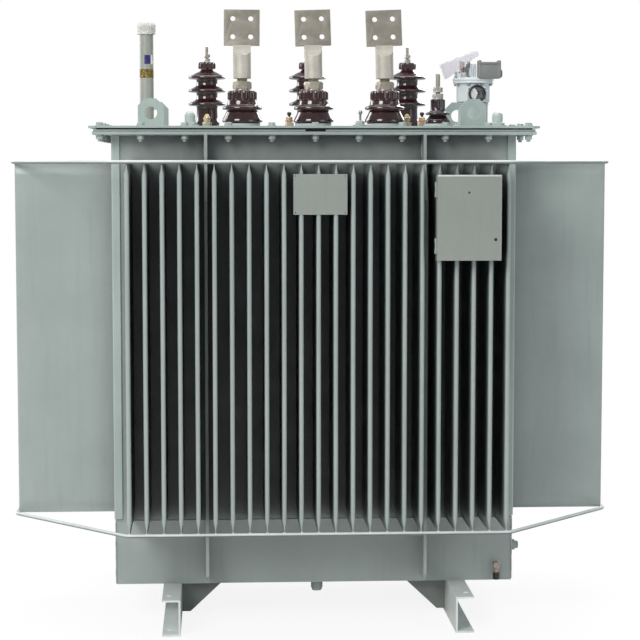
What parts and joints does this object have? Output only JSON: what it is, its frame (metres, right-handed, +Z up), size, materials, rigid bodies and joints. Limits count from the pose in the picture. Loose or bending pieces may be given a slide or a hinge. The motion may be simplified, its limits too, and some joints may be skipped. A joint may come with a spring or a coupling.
{
  "type": "oil-immersed distribution transformer",
  "caption": "Oil-filled distribution transformer: corrugated cooling tank on skid rails, bolted cover, brown porcelain bushings, flat terminal palms, filler tube and gas relay.",
  "frame": {"origin": "on the floor at the centre of the four foot holes, under the middle of the tank", "axes": "+Z up, +X to the right along the tank when facing the low-voltage side, -Y out of the low-voltage side"},
  "size_m": [1.706, 0.9925, 1.708],
  "materials": {
    "tank_paint": "semi-gloss grey-green enamel",
    "rubber": "matt oil-resistant rubber",
    "porcelain": "glossy dark brown glaze",
    "tinned_metal": "satin tin plate",
    "clear_plastic": "translucent clear plastic",
    "relay_glass": "clear sight glass with dark bezel",
    "brass": "turned brass",
    "copper": "bare copper",
    "black_plastic": "moulded black plastic",
    "relay_casting": "painted aluminium casting",
    "float_plastic": "white float",
    "grey_plastic": "moulded grey plastic",
    "core_steel": "stacked electrical steel",
    "core_clamp_paint": "primer",
    "coil_wrap": "oil-soaked insulating paper"
  },
  "bodies": {
    "tank": {"bushing_bosses": "tank_paint", "bushing_seals": "rubber", "core_clamps": "core_clamp_paint", "corner_posts": "tank_paint", "cover_bolts": "tank_paint", "cover_gasket": "rubber", "cover_nuts": "tank_paint", "cover_plate": "tank_paint", "cover_washers": "tank_paint", "filler_tube": "tank_paint", "fin_tie_rods": "tank_paint", "gasket_stop_bars": "tank_paint", "hv_porcelains": "porcelain", "hv_studs": "tinned_metal", "hv_windings": "coil_wrap", "internal_leads": "copper", "lifting_lugs": "tank_paint", "lv_nuts": "tinned_metal", "lv_porcelains": "porcelain", "lv_studs": "tinned_metal", "lv_terminals": "tinned_metal", "lv_windings": "copper", "nameplate_carrier": "tank_paint", "neutral_porcelain": "porcelain", "neutral_stud": "tinned_metal", "pocket_caps": "tank_paint", "relay_body": "relay_casting", "relay_head": "relay_casting", "relay_terminal_box": "grey_plastic", "relay_window": "relay_glass", "relief_valve_body": "tank_paint", "sampling_valve_body": "brass", "skid_gussets": "tank_paint", "skid_rails": "tank_paint", "stud_nuts": "tinned_metal", "tank_base": "tank_paint", "tank_flange": "tank_paint", "tank_stiffeners": "tank_paint", "tank_wall_back": "tank_paint", "tank_wall_front": "tank_paint", "tank_wall_left": "tank_paint", "tank_wall_right": "tank_paint", "tap_changer_body": "tank_paint", "terminal_box": "tank_paint", "thermometer_pockets": "tank_paint", "transformer_core": "core_steel", "vent_plug_knobs": "black_plastic", "vent_plugs": "brass", "wall_plugs": "tank_paint"},
    "filler_cap_seal": {"filler_cap_seal": "rubber"},
    "filler_cap": {"filler_cap": "clear_plastic"},
    "level_float": {"level_float": "brass"},
    "relief_stem": {"relief_valve_stem": "tank_paint"},
    "tap_switch": {"tap_changer_knob": "black_plastic", "tap_changer_contacts": "copper"},
    "relay_float": {"relay_float": "float_plastic"},
    "relay_hood": {"relay_hood": "clear_plastic"},
    "box_door": {"terminal_box_door": "tank_paint"},
    "box_latch": {"door_latch": "tinned_metal"},
    "valve_cap": {"sampling_valve_cap": "black_plastic"}
  },
  "joints": [
    {"name": "filler_cap_lift", "type": "slide", "parent": "tank", "child": "filler_cap_seal", "axis": [0, 0, 1], "range_m": [0, 0.0101]},
    {"name": "filler_cap_turn", "type": "hinge", "parent": "filler_cap_seal", "child": "filler_cap", "pos_m": [-0.473, 0, 1.668], "axis": [0, 0, 1], "range_deg": [0, 900]},
    {"name": "level_float_rise", "type": "slide", "parent": "tank", "child": "level_float", "axis": [0, 0, 1], "range_m": [-0.04, 0.03]},
    {"name": "relief_valve_lift", "type": "slide", "parent": "tank", "child": "relief_stem", "axis": [0, 0, 1], "range_m": [0, 0.006]},
    {"name": "tap_switch_turn", "type": "hinge", "parent": "tank", "child": "tap_switch", "pos_m": [-0.198, 0.2, 1.396], "axis": [0, 0, 1], "range_deg": [-60, 60]},
    {"name": "relay_float_drop", "type": "hinge", "parent": "tank", "child": "relay_float", "pos_m": [0.48, 0.056, 1.494], "axis": [1, 0, 0], "range_deg": [-8, 25]},
    {"name": "relay_hood_lift", "type": "hinge", "parent": "tank", "child": "relay_hood", "pos_m": [0.434, 0.03, 1.545], "axis": [0, -1, 0], "range_deg": [-20, 28]},
    {"name": "box_door_swing", "type": "hinge", "parent": "tank", "child": "box_door", "pos_m": [0.31, -0.50955, 1.137], "axis": [0, 0, -1], "range_deg": [0, 110]},
    {"name": "box_latch_turn", "type": "hinge", "parent": "box_door", "child": "box_latch", "pos_m": [0.4705, -0.50955, 1.079], "axis": [0, -1, 0], "range_deg": [0, 90]},
    {"name": "valve_cap_turn", "type": "hinge", "parent": "tank", "child": "valve_cap", "pos_m": [0.514, -0.27305, 0.115], "axis": [0, 0, 1], "range_deg": [0, 720]}
  ],
  "couplings": [
    {"joint": "filler_cap_lift", "follows": "filler_cap_turn", "m_per_rad": 0.00063662}
  ]
}
